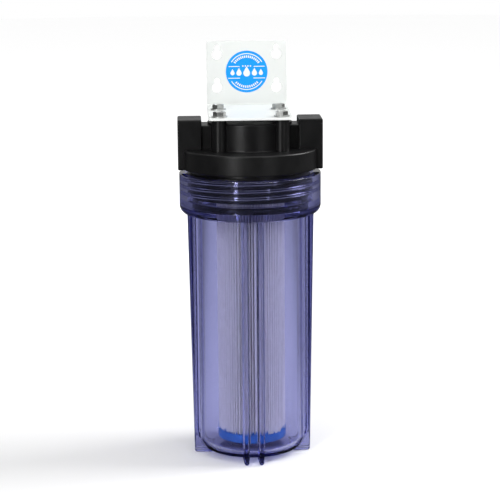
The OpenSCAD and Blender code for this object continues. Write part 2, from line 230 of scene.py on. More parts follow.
def lathe(name, outline, steps=SPIN, centre=(0, 0, 0)):
    """Solid turned about Z from a closed outline of radius and height."""
    bm = bmesh.new()
    turns = [2 * math.pi * i / steps for i in range(steps)]
    rings = []
    for r, z in outline:
        if r < TINY:
            rings.append([bm.verts.new((0, 0, z))])
        else:
            rings.append([bm.verts.new((r * math.cos(a), r * math.sin(a), z)) for a in turns])
    for one, two in zip(rings, rings[1:] + rings[:1]):
        if len(one) == len(two) == 1:
            continue
        for i in range(steps):
            j = (i + 1) % steps
            corners = [one[i % len(one)], one[j % len(one)], two[j % len(two)], two[i % len(two)]]
            bm.faces.new(list(dict.fromkeys(corners)))
    bmesh.ops.translate(bm, verts=bm.verts, vec=centre)
    return add(name, bm)


def loft(name, sections):
    """Solid through closed sections that have the same number of points."""
    bm = bmesh.new()
    loops = [[bm.verts.new(p) for p in section] for section in sections]
    for one, two in zip(loops, loops[1:]):
        bridge(bm, one, two)
    bm.faces.new(loops[0])
    bm.faces.new(list(reversed(loops[-1])))
    return add(name, bm)


def block(name, low, high, radius, segments=3):
    """Box with rounded edges, from one corner to the other."""
    bm = bmesh.new()
    bmesh.ops.create_cube(bm, size=1)
    size = Vector(high) - Vector(low)
    bmesh.ops.scale(bm, vec=size, verts=bm.verts)
    bmesh.ops.translate(bm, vec=(Vector(high) + Vector(low)) / 2, verts=bm.verts)
    bmesh.ops.bevel(bm, geom=bm.edges[:], offset=radius, segments=segments, profile=0.5, affect="EDGES")
    return add(name, bm)


def drill(name, r, start, end, steps=SMALL_SPIN):
    """Plain cylinder between two points, for cutting a bore."""
    start, end = Vector(start), Vector(end)
    length = (end - start).length
    tool = lathe(name, [(0, 0), (r, 0), (r, length), (0, length)], steps)
    turn = Vector((0, 0, 1)).rotation_difference(end - start).to_matrix().to_4x4()
    tool.data.transform(Matrix.Translation(start) @ turn)
    return tool


def round_crest(base_r, crest_r, root, crest, radius, steps=4):
    """Section of a thread ridge as radius and height, with its crest's two edges rounded."""
    out = 1 if crest_r > base_r else -1
    corner = crest_r - out * radius
    turns = [math.radians(90 * i / steps) for i in range(steps + 1)]
    upper = [(corner + out * radius * math.sin(a), crest - radius + radius * math.cos(a)) for a in turns]
    lower = [(r, -z) for r, z in reversed(upper)]
    ring = [(base_r, root)] + upper + lower + [(base_r, -root)]
    return ring if out < 0 else list(reversed(ring))


def ridge(name, section, crest_r, base_r, start_z, pitch, turns, steps=96, runout=0.1):
    """Helical ridge that fades out at both ends. The section is pairs of radius and height."""
    total = round(turns * steps)
    least = 0.04            # share of the ridge's height that its ends keep
    sections = []
    for i in range(total + 1):
        turn = i / steps
        fade = min(1, turn / runout, (turns - turn) / runout)
        fade = least + (1 - least) * max(0, fade)
        a = 2 * math.pi * turn
        ring = []
        for r, z in section:
            height = (r - base_r) / (crest_r - base_r)
            r = base_r + (crest_r - base_r) * height * (fade if height > 0 else 1)
            ring.append((r * math.cos(a), r * math.sin(a), start_z + z + pitch * turn))
        sections.append(ring)
    return loft(name, sections)


def bake(obj):
    """Puts the result of an object's modifiers into its mesh."""
    depsgraph = bpy.context.evaluated_depsgraph_get()
    mesh = bpy.data.meshes.new_from_object(obj.evaluated_get(depsgraph))
    obj.modifiers.clear()
    old = obj.data
    obj.data = mesh
    bpy.data.meshes.remove(old)


def combine(target, others, operation="UNION"):
    """Boolean of one solid with others, which are used up."""
    for other in others:
        modifier = target.modifiers.new("combine", "BOOLEAN")
        modifier.operation = operation
        modifier.solver = "MANIFOLD"
        modifier.object = other
        bake(target)
        bpy.data.objects.remove(other)
    return target


def join(name, objects):
    """One object from several separate solids."""
    bm = bmesh.new()
    for obj in objects:
        bm.from_mesh(obj.data)
        bpy.data.objects.remove(obj)
    return add(name, bm)


def shade(obj, angle=30):
    """Smooth shading, with creases where faces meet at more than the angle."""
    bm = bmesh.new()
    bm.from_mesh(obj.data)
    bmesh.ops.remove_doubles(bm, verts=bm.verts, dist=TINY / 10)
    limit = math.radians(angle)
    for face in bm.faces:
        face.smooth = True
        face.material_index = 0
    for edge in bm.edges:
        edge.smooth = len(edge.link_faces) == 2 and edge.calc_face_angle(0) < limit
    obj.data.materials.clear()
    bm.to_mesh(obj.data)
    bm.free()
    modifier = obj.modifiers.new("normals", "WEIGHTED_NORMAL")
    modifier.keep_sharp = True
    bake(obj)
    return obj


def stand_for(piece, node, slot, body, angle, *materials):
    """Finishes a piece that is shown in a CAD node's place."""
    shade(piece, angle)
    for material in materials:
        piece.data.materials.append(material)
    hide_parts(node)
    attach(piece, body)


# ---------------------------------------------------------------------------
# Materials
# ---------------------------------------------------------------------------


class Finish:
    """A Principled material with the node helpers that the finishes share."""

    def __init__(self, name, color, roughness, **sockets):
        self.material = bpy.data.materials.new(name)
        self.material.use_nodes = True
        self.tree = self.material.node_tree
        self.shader = self.tree.nodes["Principled BSDF"]
        self.set("Base Color", (*color, 1))
        self.set("Roughness", roughness)
        for socket, value in sockets.items():
            self.set(socket.replace("_", " "), value)
        self.coords = self.node("ShaderNodeTexCoord").outputs["Object"]

    def set(self, socket, value):
        self.shader.inputs[socket].default_value = value

    def node(self, kind, **values):
        made = self.tree.nodes.new(kind)
        for key, value in values.items():
            setattr(made, key, value)
        return made

    def link(self, output, target):
        self.tree.links.new(output, target)

    def noise(self, scale, detail=3.0, stretch=(1, 1, 1)):
        """Noise in object space. The scale is in features per metre."""
        mapping = self.node("ShaderNodeMapping")
        mapping.inputs["Scale"].default_value = stretch
        self.link(self.coords, mapping.inputs["Vector"])
        made = self.node("ShaderNodeTexNoise")
        made.inputs["Scale"].default_value = scale
        made.inputs["Detail"].default_value = detail
        made.inputs["Roughness"].default_value = NOISE_ROUGHNESS
        self.link(mapping.outputs["Vector"], made.inputs["Vector"])
        return made.outputs["Fac"]

    def vary_roughness(self, value, low, high):
        """Roughness that goes from low to high with a noise."""
        made = self.node("ShaderNodeMapRange")
        made.inputs["From Min"].default_value = NOISE_LOW
        made.inputs["From Max"].default_value = NOISE_HIGH
        made.inputs["To Min"].default_value = low
        made.inputs["To Max"].default_value = high
        self.link(value, made.inputs["Value"])
        self.link(made.outputs["Result"], self.shader.inputs["Roughness"])

    def vary_color(self, value, low, high):
        """Base colour that goes from low to high with a noise."""
        made = self.node("ShaderNodeValToRGB")
        made.color_ramp.elements[0].position = NOISE_LOW
        made.color_ramp.elements[1].position = NOISE_HIGH
        made.color_ramp.elements[0].color = (*low, 1)
        made.color_ramp.elements[1].color = (*high, 1)
        self.link(value, made.inputs["Fac"])
        self.link(made.outputs["Color"], self.shader.inputs["Base Color"])

    def bump(self, *layers):
        """Chain of bumps, each a height, its depth in metres and its strength."""
        normal = None
        for height, depth, strength in layers:
            made = self.node("ShaderNodeBump")
            made.inputs["Distance"].default_value = depth
            made.inputs["Strength"].default_value = strength
            self.link(height, made.inputs["Height"])
            if normal is not None:
                self.link(normal, made.inputs["Normal"])
            normal = made.outputs["Normal"]
        self.link(normal, self.shader.inputs["Normal"])


def clear_plastic():
    f = Finish("clear_violet", (0.713, 0.72, 0.888), 0.012, IOR=1.57, Transmission_Weight=1.0)
    absorb = f.node("ShaderNodeVolumeAbsorption")
    absorb.inputs["Color"].default_value = (0.25, 0.27, 0.7, 1)
    absorb.inputs["Density"].default_value = 52
    f.link(absorb.outputs["Volume"], f.tree.nodes["Material Output"].inputs["Volume"])
    f.bump((f.noise(40, 1.0), 0.02 * MM, 0.3))
    return f.material


def satin_black():
    f = Finish("satin_black", (0.006, 0.006, 0.0063), 0.36, Specular_IOR_Level=0.36)
    f.vary_color(f.noise(35), (0.003, 0.003, 0.0034), (0.0055, 0.0055, 0.006))
    f.vary_roughness(f.noise(90, 4.0), 0.31, 0.43)
    f.bump((f.noise(1600, 2.0), 0.06 * MM, 0.5), (f.noise(45, 1.0), 0.2 * MM, 0.12))
    return f.material


def powder_coat():
    f = Finish("powder_coat", (0.84, 0.86, 0.85), 0.42, Coat_Weight=0.15, Coat_Roughness=0.3)
    f.vary_color(f.noise(20), (0.77, 0.795, 0.775), (0.81, 0.83, 0.815))
    f.vary_roughness(f.noise(300), 0.36, 0.5)
    f.bump((f.noise(900, 1.0), 0.05 * MM, 0.4))
    return f.material


def zinc():
    f = Finish("zinc_plate", (0.72, 0.73, 0.72), 0.24, Metallic=1.0)
    f.vary_color(f.noise(260, 4.0), (0.42, 0.43, 0.42), (0.6, 0.61, 0.6))
    f.vary_roughness(f.noise(500, 3.0), 0.28, 0.44)
    f.bump((f.noise(1400, 2.0, (1, 1, 0.2)), 0.03 * MM, 0.4))
    return f.material


def label_film(name, color):
    f = Finish(name, color, 0.4, Coat_Weight=0.12, Coat_Roughness=0.1, Specular_IOR_Level=0.3)
    shade_low = tuple(c * 0.95 for c in color)
    f.vary_color(f.noise(400), shade_low, color)
    f.vary_roughness(f.noise(700), 0.26, 0.36)
    f.bump((f.noise(500, 1.0), 0.01 * MM, 0.3))
    return f.material


def rubber():
    f = Finish("seal_rubber", (0.01, 0.01, 0.01), 0.32)
    f.vary_roughness(f.noise(200), 0.24, 0.42)
    f.bump((f.noise(900), 0.03 * MM, 0.3))
    return f.material


def non_woven():
    f = Finish("pleated_media", (0.83, 0.83, 0.84), 0.85, Sheen_Weight=0.15)
    fibres = f.noise(700, 5.0, (1, 1, 0.25))
    f.vary_color(fibres, (0.76, 0.73, 0.63), (0.92, 0.89, 0.78))
    f.bump((fibres, 0.15 * MM, 0.6), (f.noise(2600, 2.0), 0.05 * MM, 0.4))
    return f.material


def core_plastic():
    f = Finish("core_plastic", (0.8, 0.8, 0.79), 0.42)
    f.vary_roughness(f.noise(120), 0.36, 0.5)
    f.bump((f.noise(300), 0.04 * MM, 0.3))
    return f.material


def plastisol():
    f = Finish("end_cap_blue", (0.012, 0.1, 0.42), 0.46)
    f.vary_color(f.noise(140), (0.01, 0.115, 0.37), (0.015, 0.16, 0.48))
    f.vary_roughness(f.noise(260), 0.4, 0.55)
    f.bump((f.noise(420), 0.08 * MM, 0.4))
    return f.material


# ---------------------------------------------------------------------------
# Bowl
# ---------------------------------------------------------------------------


def bowl_outline():
    """Outside, collar, groove for the seal and inside, turned in one."""
    lip_z = GROOVE_Z + LIP_H
    edge = 0.8 * MM
    fillet = 2 * MM
    return (
        [(0, FOOT_H)]
        + arc(BOWL_R - CORNER_OUT, FOOT_H + CORNER_OUT, CORNER_OUT, -90, 0, 14)
        + arc(BOWL_R + fillet, COLLAR_UNDER_Z - fillet, fillet, 180, 90, 6)
        + arc(COLLAR_R - SHOULDER_R, COLLAR_UNDER_Z + SHOULDER_R, SHOULDER_R, -90, 0, 14)
        + arc(COLLAR_R - edge, COLLAR_Z - edge, edge, 0, 90, 4)
        + arc(COLLAR_BORE_R + edge / 2, COLLAR_Z - edge / 2, edge / 2, 90, 180, 3)
        + [(COLLAR_BORE_R, LEDGE_Z)]
        + arc(GROOVE_R + edge / 2, LEDGE_Z - edge / 2, edge / 2, 90, 180, 3)
        + [(GROOVE_R, GROOVE_Z), (LIP_R, GROOVE_Z)]
        + arc(LIP_R - edge, lip_z - edge, edge, 0, 90, 3)
        + arc(BORE_R + edge, lip_z - edge, edge, 90, 180, 3)
        + arc(BORE_R - CORNER_IN, FLOOR_Z + CORNER_IN, CORNER_IN, 0, -90, 12)
        + [(0, FLOOR_Z)]
    )


def rib_section(z, inner, outer, half, flare):
    """Level section of a rib that stands out along +X, with a round nose and a fillet at its root."""
    thinnest = 0.3 * MM
    nose_half = max(half - RIB_DRAFT, thinnest)
    nose = min(RIB_NOSE, nose_half)
    if flare:
        root = arc(BOWL_R + flare, 0, flare, 180, 90, RIB_FILLET_STEPS)
        root = [(x, y - half - flare) for x, y in root]
    else:
        root = [(inner + TINY * (i + 1), -half) for i in range(RIB_FILLET_STEPS + 1)]
    side = [(inner, -half - flare)] + root + arc(outer - nose, -nose_half + nose, nose, -90, 0, 7)
    other_side = [(x, -y) for x, y in reversed(side)]
    return [Vector((x, y, z)) for x, y in side + other_side]


def rib(name):
    """One rib along +X, from its rounded foot up into the collar."""
    foot_edge = 2.4 * MM
    inner_foot = BOWL_R - CORNER_OUT
    step_z = FOOT_H + 1 * MM
    wall_x = (BORE_R + BOWL_R) / 2
    wall_z = FOOT_H + CORNER_OUT
    fillet_z = wall_z + 6 * MM
    top_z = COLLAR_UNDER_Z + 1 * MM
    half = RIB_W / 2
    levels = []
    for i in range(7):
        t = math.radians(15 * i)
        z = foot_edge * (1 - math.cos(t))
        tuck = foot_edge * (1 - math.sin(t))
        inner = inner_foot - z * FOOT_H / step_z
        levels.append((z, inner, RIB_FOOT_R - tuck, half - tuck, 0))
    for z, inner, flare in ((step_z, inner_foot - FOOT_H, 0), (step_z, inner_foot, 0), (wall_z, wall_x, 0),
                            (fillet_z, wall_x, RIB_FILLET), (top_z, wall_x, RIB_FILLET)):
        slant = RIB_FOOT_R + (RIB_TOP_R - RIB_FOOT_R) * (z - foot_edge) / (top_z - foot_edge)
        levels.append((z, inner, slant, half, flare))
    return loft(name, [rib_section(*level) for level in levels])


def cartridge_stand():
    """Ring on the bowl's floor that carries the cartridge."""
    edge = 0.6 * MM
    out_r = STAND_R + STAND_WALL / 2
    in_r = STAND_R - STAND_WALL / 2
    base_z = FLOOR_Z - 1 * MM
    outline = [(in_r, base_z), (out_r, base_z)]
    outline += arc(out_r - edge, STAND_TOP - edge, edge, 0, 90, 4)
    outline += arc(in_r + edge, STAND_TOP - edge, edge, 90, 180, 4)
    return lathe("stand", outline, MIDDLE_SPIN)


def centring_post():
    """Cross of two fins that reaches into the cartridge's bore, with a tapered top."""
    edge = 0.8 * MM
    taper = 4 * MM
    base_z = FLOOR_Z - 1 * MM
    post = block("fin", (-FIN_R, -FIN_T / 2, base_z), (FIN_R, FIN_T / 2, POST_TOP), edge)
    combine(post, [block("fin", (-FIN_T / 2, -FIN_R, base_z), (FIN_T / 2, FIN_R, POST_TOP), edge)])
    past_r = FIN_R + 1 * MM
    past_z = POST_TOP + 1 * MM
    cone = [(0, base_z - 1 * MM), (past_r, base_z - 1 * MM), (past_r, past_z - taper - 2 * MM),
            (FIN_R - taper, past_z), (0, past_z)]
    return combine(post, [lathe("cone", cone, MIDDLE_SPIN)], "INTERSECT")


def make_bowl():
    bowl = lathe("clear_bowl", bowl_outline())
    ribs = []
    for side in range(4):
        for offset in (-RIB_OFFSET, RIB_OFFSET):
            piece = rib("rib")
            turn = Matrix.Rotation(math.radians(90 * side), 4, "Z")
            piece.data.transform(turn @ Matrix.Translation((0, offset, 0)))
            ribs.append(piece)
    combine(bowl, ribs)
    combine(bowl, [cartridge_stand(), centring_post()])

    base_r = COLLAR_BORE_R + THREAD_SINK
    crest = 0.85 * MM
    root = 1.75 * MM
    crest_edge = 0.45 * MM
    section = round_crest(base_r, BOWL_THREAD_R, root, crest, crest_edge)
    thread = ridge("bowl_thread", section, BOWL_THREAD_R, base_r, BOWL_THREAD_Z, PITCH, BOWL_TURNS)
    combine(bowl, [thread])
    stand_for(bowl, "sump", "clear_plastic", "bowl", 32, clear_plastic())


def make_seal():
    radius = (SEAL_HIGH.z - SEAL_LOW.z) / 2
    centre = SEAL_HIGH.x - radius
    facets = 24
    ring = lathe("rubber_seal", arc(centre, SEAL_LOW.z + radius, radius, 0, 360 - 360 / facets, facets - 1))
    stand_for(ring, "sump_oring", "seal_rubber", "bowl", 40, rubber())


# ---------------------------------------------------------------------------
# Head
# ---------------------------------------------------------------------------


def head_outline():
    """Flange, deck and skirt, turned in one."""
    top_edge = 1.6 * MM
    low_edge = 1.0 * MM
    nose_edge = 0.4 * MM
    under_z = DECK_Z - DECK_T
    return (
        [(0, DECK_Z)]
        + arc(RING_R - top_edge, DECK_Z - top_edge, top_edge, 90, 0, 6)
        + arc(RING_R - low_edge, RING_Z + low_edge, low_edge, 0, -90, 4)
        + [(SKIRT_R, RING_Z), (SKIRT_R, SKIRT_Z + nose_edge)]
        + [(SKIRT_R - nose_edge, SKIRT_Z), (NOSE_R, SKIRT_Z)]
        + arc(NOSE_R - nose_edge, NOSE_Z + nose_edge, nose_edge, 0, -90, 3)
        + arc(SKIRT_BORE_R + nose_edge, NOSE_Z + nose_edge, nose_edge, -90, -180, 3)
        + [(SKIRT_BORE_R, under_z), (0, under_z)]
    )


def port_thread(side):
    """Pipe thread to cut into a port."""
    pitch = 1.814 * MM
    turns = 9
    base_r = PORT_R - 0.3 * MM
    crest_r = PORT_R + 1.0 * MM
    root = 0.8 * MM
    crest = 0.08 * MM
    section = [(base_r, root), (base_r, -root), (crest_r, -crest), (crest_r, crest)]
    thread = ridge("port_thread", section, crest_r, base_r, 0, pitch, turns, 48)
    lie_down = Matrix.Rotation(math.radians(-90 * side), 4, "Y")
    start = Matrix.Translation((side * (PORT_X + 1 * MM), 0, PORT_Z))
    thread.data.transform(start @ lie_down)
    return thread


def port_cutters(side):
    """Bore, flared mouth and thread of the port on one side."""
    mouth = 1.5 * MM
    deep = PORT_X - PORT_DEPTH
    past = mouth + 1 * MM
    bore = drill("bore", PORT_R, (side * deep, 0, PORT_Z), (side * (PORT_X + MM), 0, PORT_Z), MIDDLE_SPIN)
    cone = lathe("mouth", [(0, 0), (PORT_R, 0), (PORT_R + past, past), (0, past)], MIDDLE_SPIN)
    stand_up = Matrix.Rotation(math.radians(90 * side), 4, "Y")
    cone.data.transform(Matrix.Translation((side * (PORT_X - mouth), 0, PORT_Z)) @ stand_up)
    return [bore, cone, port_thread(side)]


def screw_places():
    return [(x, y) for x in (-SCREW_X, SCREW_X) for y in (-SCREW_Y, SCREW_Y)]


def outer_parts():
    """What stands on the deck: barrel, tunnel, port blocks and screw columns."""
    sink = 1 * MM
    edge = 1.2 * MM
    inner_r = BARREL_R - BARREL_WALL
    barrel = [(inner_r, DECK_Z - sink), (BARREL_R, DECK_Z - sink)]
    barrel += arc(BARREL_R + edge, DECK_Z + edge, edge, 270, 180, 4)
    barrel += arc(BARREL_R - edge, BARREL_Z - edge, edge, 0, 90, 4)
    barrel += arc(inner_r + edge / 2, BARREL_Z - edge / 2, edge / 2, 90, 180, 3)
    tunnel_x = PORT_X - 1.5 * MM
    tunnel_low = (-tunnel_x, -TUNNEL_HALF, DECK_Z - 2 * sink)
    parts = [lathe("barrel", barrel), block("tunnel", tunnel_low, (tunnel_x, TUNNEL_HALF, TUNNEL_Z), edge)]
    for side in (-1, 1):
        left, right = sorted((side * PORT_X, side * (PORT_X - BLOCK_LEN)))
        parts.append(block("port_block", (left, -BLOCK_HALF, RING_Z), (right, BLOCK_HALF, BLOCK_Z), edge))
    top = 0.6 * MM
    column = [(0, DECK_Z - sink), (COLUMN_R, DECK_Z - sink), (COLUMN_R, BRACKET_Z - top)]
    column += arc(COLUMN_R - top, BRACKET_Z - top, top, 0, 90, 4) + [(0, BRACKET_Z)]
    parts += [lathe("column", column, SMALL_SPIN, (x, y, 0)) for x, y in screw_places()]
    return parts


def inner_parts():
    """What hangs under the deck: the edge that seals on the top cap, and the standpipe."""
    half = 1.2 * MM
    bevel_z = SEAL_EDGE_Z + 0.4 * MM
    deck_in = DECK_Z - DECK_T + 1 * MM
    seal_edge = [(STAND_R - half, deck_in), (STAND_R - half, bevel_z), (STAND_R, SEAL_EDGE_Z),
                 (STAND_R + half, bevel_z), (STAND_R + half, deck_in)]
    edge = 1 * MM
    standpipe = [(0, deck_in), (STANDPIPE_R, deck_in)]
    standpipe += arc(STANDPIPE_R - edge, STANDPIPE_Z + edge, edge, 0, -90, 4) + [(0, STANDPIPE_Z)]
    return [lathe("seal_edge", seal_edge, MIDDLE_SPIN), lathe("standpipe", standpipe, MIDDLE_SPIN)]


def head_cutters():
    """Ports, water passages and the pilot holes of the screws."""
    past = 1 * MM
    inner = PORT_X - PORT_DEPTH + past
    under_z = DECK_Z - DECK_T - past
    cutters = port_cutters(-1) + port_cutters(1)
    cutters.append(drill("out_across", PASSAGE_R, (0, 0, PORT_Z), (inner, 0, PORT_Z)))
    cutters.append(drill("out_up", PASSAGE_R + 1 * MM, (0, 0, STANDPIPE_Z - past), (0, 0, PORT_Z)))
    cutters.append(drill("in_across", PASSAGE_R, (-inner, 0, PORT_Z), (-DOWN_X, 0, PORT_Z)))
    cutters.append(drill("in_down", PASSAGE_R - 2 * MM, (-DOWN_X, 0, under_z), (-DOWN_X, 0, PORT_Z)))
    pilot_r = SCREW_R + 0.1 * MM
    for x, y in screw_places():
        cutters.append(drill("pilot", pilot_r, (x, y, SCREWS_LOW.z - past), (x, y, BRACKET_Z + past)))
    return cutters


def make_head():
    head = lathe("head_moulding", head_outline())
    combine(head, outer_parts())
    wet = drill("wet_side", SKIRT_BORE_R, (0, 0, RING_Z - 2 * MM), (0, 0, DECK_Z - DECK_T), SPIN)
    combine(head, [wet], "DIFFERENCE")
    base_r = SKIRT_R - THREAD_SINK
    root = 2.17 * MM
    crest = 0.95 * MM
    crest_edge = 0.6 * MM
    section = round_crest(base_r, HEAD_THREAD_R, root, crest, crest_edge)
    thread = ridge("head_thread", section, HEAD_THREAD_R, base_r, HEAD_THREAD_Z, PITCH, HEAD_TURNS)
    combine(head, inner_parts() + [thread])
    combine(head, head_cutters(), "DIFFERENCE")
    stand_for(head, "head", "head_plastic", "mounting", 32, satin_black())


# ---------------------------------------------------------------------------
# Bracket, screws and label
# ---------------------------------------------------------------------------


def make_bracket():
    """The bracket's own sheet, with its cut edges rounded by the powder coat."""
    bm = bmesh.new()
    bm.from_mesh(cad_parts["bracket"].data)
    bmesh.ops.remove_doubles(bm, verts=bm.verts, dist=TINY)
    flat = math.radians(0.5)
    bmesh.ops.dissolve_limit(bm, angle_limit=flat, verts=bm.verts, edges=bm.edges)
    crease = math.radians(40)
    sharp = [e for e in bm.edges if len(e.link_faces) == 2 and e.calc_face_angle(0) > crease]
    edge = 0.35 * MM
    bmesh.ops.bevel(bm, geom=sharp, offset=edge, segments=3, profile=0.5, affect="EDGES")
    bracket = add("coated_bracket", bm)
    stand_for(bracket, "bracket", "painted_steel", "mounting", 35, powder_coat())


def hex_screw(name, turn):
    """Hexagon head on a washer, over a threaded shank. Its seat is at z = 0."""
    hex_top = SCREWS_HIGH.z - SCREW_SEAT_Z
    shank_low = SCREWS_LOW.z - SCREW_SEAT_Z
    angles = [math.radians(60 * i + turn) for i in range(6)]
    corners = [(HEX_R * math.cos(a), HEX_R * math.sin(a)) for a in angles]
    prism = loft("hexagon", [[Vector((x, y, z)) for x, y in corners] for z in (WASHER_T / 2, hex_top)])
    flat_r = HEX_R * math.cos(math.radians(30))
    past_r = HEX_R + 2 * MM
    dimple = 0.5 * MM
    round_top = [(0, 0), (past_r, 0), (past_r, hex_top - 1.6 * MM), (flat_r, hex_top),
                 (flat_r * 0.66, hex_top), (flat_r * 0.58, hex_top - dimple), (0, hex_top - dimple)]
    combine(prism, [lathe("chamfer", round_top, SMALL_SPIN)], "INTERSECT")
    edge = 0.35 * MM
    rim = WASHER_R - edge
    washer = [(0, 0), (rim, 0)] + arc(rim, edge, edge, -90, 0, 3)
    washer += arc(rim, WASHER_T - edge, edge, 0, 90, 3) + [(0, WASHER_T)]
    tip_r = SCREW_R - 1 * MM
    core_r = SCREW_R - 0.3 * MM
    into_washer = 0.2 * MM
    shank = [(0, shank_low), (tip_r, shank_low), (core_r, shank_low + 1 * MM), (core_r, into_washer),
             (0, into_washer)]
    solids = [lathe("washer", washer, SMALL_SPIN), lathe("shank", shank, SMALL_SPIN)]
    base_r = SCREW_R - 0.4 * MM
    root = 0.4 * MM
    crest = 0.05 * MM
    pitch = 1.2 * MM
    section = [(base_r, root), (base_r, -root), (SCREW_R, -crest), (SCREW_R, crest)]
    start = shank_low + 1.5 * MM
    solids.append(ridge("screw_thread", section, SCREW_R, base_r, start, pitch, turns=11, steps=36))
    combine(prism, solids)
    prism.name = name
    return prism


def make_screws():
    """Four screws, each turned as far as it happened to be tightened, in degrees."""
    turns = {(-1, -1): 8, (1, -1): 38, (-1, 1): 22, (1, 1): 2}
    screws = []
    for (x, y), turn in turns.items():
        screw = hex_screw("screw", turn)
        screw.data.transform(Matrix.Translation((x * SCREW_X, y * SCREW_Y, SCREW_SEAT_Z)))
        screws.append(screw)
    stand_for(join("hex_screws", screws), "bracket_screws", "zinc_steel", "mounting", 25, zinc())


def inlay(shapes, face_y, centre, scale):
    """Thin printed shapes on the label's face. Each is a closed outline in label radii."""
    bm = bmesh.new()
    for outline in shapes:
        front = [bm.verts.new((centre.x + x * scale, face_y, centre.z + y * scale)) for x, y in outline]
        back = [bm.verts.new(v.co + Vector((0, PRINT_DEPTH, 0))) for v in front]
        bm.faces.new(front)
        bm.faces.new(list(reversed(back)))
        bridge(bm, front, back)
    return add("label_print", bm)


def drop(x, y, size):
    """Outline of a water drop, point up."""
    belly = arc(x, y, size * 0.62, 150, 390, 18)
    return belly + [(x, y + size * 1.25)]


def bar(x0, x1, y, thick):
    """Outline of a level bar, with half its thickness given."""
    return [(x0, y - thick), (x1, y - thick), (x1, y + thick), (x0, y + thick)]


def ring_part(radius, thick, start, end, steps=28):
    """Outline of part of a ring about the label's centre, with half its thickness given."""
    return arc(0, 0, radius + thick, start, end, steps) + arc(0, 0, radius - thick, end, start, steps)


def motif():
    """Two arcs, two rows of ticks, four bars, a row of dots and five drops, in label radii."""
    arc_r, arc_half = 0.86, 0.02
    tick_r, tick_half, tick_angle = 0.72, 0.055, 2.2
    bar_x, bar_half = 0.6, 0.018
    shapes = [ring_part(arc_r, arc_half, 32, 148), ring_part(arc_r, arc_half, 212, 328)]
    for start, end, count in ((38, 142, 15), (226, 314, 12)):
        for i in range(count):
            middle = start + (end - start) * i / (count - 1)
            shapes.append(ring_part(tick_r, tick_half, middle - tick_angle, middle + tick_angle, 3))
    for side in (-1, 1):
        for length, height in ((0.26, 0.25), (0.28, -0.31)):
            shapes.append(bar(side * bar_x - length, side * bar_x + length, height, bar_half))
    shapes += [arc(x, 0.27, 0.035, 0, 330, 11) for x in (-0.18, -0.06, 0.06, 0.18)]
    for x, size in ((-0.68, 0.16), (-0.37, 0.2), (0, 0.26), (0.37, 0.2), (0.68, 0.16)):
        shapes.append(drop(x, -0.07, size))
    return shapes


def make_label():
    radius = LABEL_HIGH.x
    face = LABEL_HIGH.y - LABEL_LOW.y - PRINT_DEPTH
    centre = (LABEL_LOW + LABEL_HIGH) / 2
    edge = 0.12 * MM
    outline = [(0, 0), (radius, 0)] + arc(radius - edge, face - edge, edge, 0, 90, 3) + [(0, face)]
    disc = lathe("round_label", outline, 128)
    turn = Matrix.Rotation(math.radians(90), 4, "X")
    disc.data.transform(Matrix.Translation((centre.x, LABEL_HIGH.y, centre.z)) @ turn)
    ink = inlay(motif(), LABEL_LOW.y, centre, radius)
    label = join("printed_label", [disc, ink])
    blue = label_film("label_blue", (0.006, 0.34, 1.0))
    white = label_film("label_white", (0.86, 0.9, 0.95))
    stand_for(label, "label", "label_film", "mounting", 30, blue, white)
    for face_part in label.data.polygons:
        if face_part.center.y < LABEL_LOW.y + PRINT_DEPTH * 0.99:
            face_part.material_index = 1


# ---------------------------------------------------------------------------
# Cartridge
# ---------------------------------------------------------------------------


def pleat_loop(z, sway, outer_face):
    """One face of the folded sheet at a level, as a closed loop round the axis."""
    waves = 14
    past_square = 5
    tip_round = SHEET_T + SLIT
    tip_r = MEDIA_R - tip_round
    valley_r = CORE_HIGH.x + 0.4 * MM + tip_round
    tip_arc, valley_arc = (tip_round, SLIT) if outer_face else (SLIT, tip_round)
    step = 2 * math.pi / PLEATS
    loop = []
    for k in range(PLEATS):
        lean, phase, push = sway[k]
        wave = lean * math.sin(phase + z * waves)
        tip = (k * step + wave, tip_r - push, tip_arc, past_square - 90, 90 - past_square)
        valley = ((k + 0.5) * step, valley_r, valley_arc, 270 - past_square, 90 + past_square)
        for angle, centre_r, r, start, end in (tip, valley):
            c, s = math.cos(angle), math.sin(angle)
            loop += [Vector((u * c - v * s, u * s + v * c, z)) for u, v in arc(centre_r, 0, r, start, end, 4)]
    return loop


def make_media():
    """Pleated sheet. Each pleat sways a little as it goes up and stands back by its own amount."""
    sway = []
    for _ in range(PLEATS):
        lean = math.radians(random.uniform(0.05, 0.25))
        phase = random.uniform(0, 6.3)
        sway.append((lean, phase, random.uniform(0, 0.35) * MM))
    rows = 30
    bm = bmesh.new()
    grids = []
    for outer_face in (True, False):
        grid = []
        for i in range(rows + 1):
            z = MEDIA_LOW.z + (MEDIA_HIGH.z - MEDIA_LOW.z) * i / rows
            grid.append([bm.verts.new(p) for p in pleat_loop(z, sway, outer_face)])
        grids.append(grid)
        for one, two in zip(grid, grid[1:]):
            bridge(bm, one, two)
    for row in (0, rows):
        bridge(bm, grids[0][row], grids[1][row])
    media = add("pleated_sheet", bm)
    stand_for(media, "cartridge_media", "filter_media", "cartridge", 50, non_woven())


def cap_outline(outer_z, inner_z, side):
    """Radius and height from the cap's bore over its outer face, with its groove, to its rim."""
    edge = 1.6 * MM
    groove = outer_z + side * 0.5 * MM
    bore_edge = 0.6 * MM
    outline = [(CAP_BORE_R, inner_z), (CAP_BORE_R, outer_z + side * bore_edge),
               (CAP_BORE_R + bore_edge, outer_z),
               (CARTRIDGE_R - 9 * MM, outer_z), (CARTRIDGE_R - 8.5 * MM, groove),
               (CARTRIDGE_R - 5.5 * MM, groove), (CARTRIDGE_R - 5 * MM, outer_z)]
    for i in range(7):
        a = math.radians(15 * i)
        outline.append((CARTRIDGE_R - edge * (1 - math.sin(a)), outer_z + side * edge * (1 - math.cos(a))))
    return outline + [(CARTRIDGE_R, inner_z - side * 0.3 * MM)]


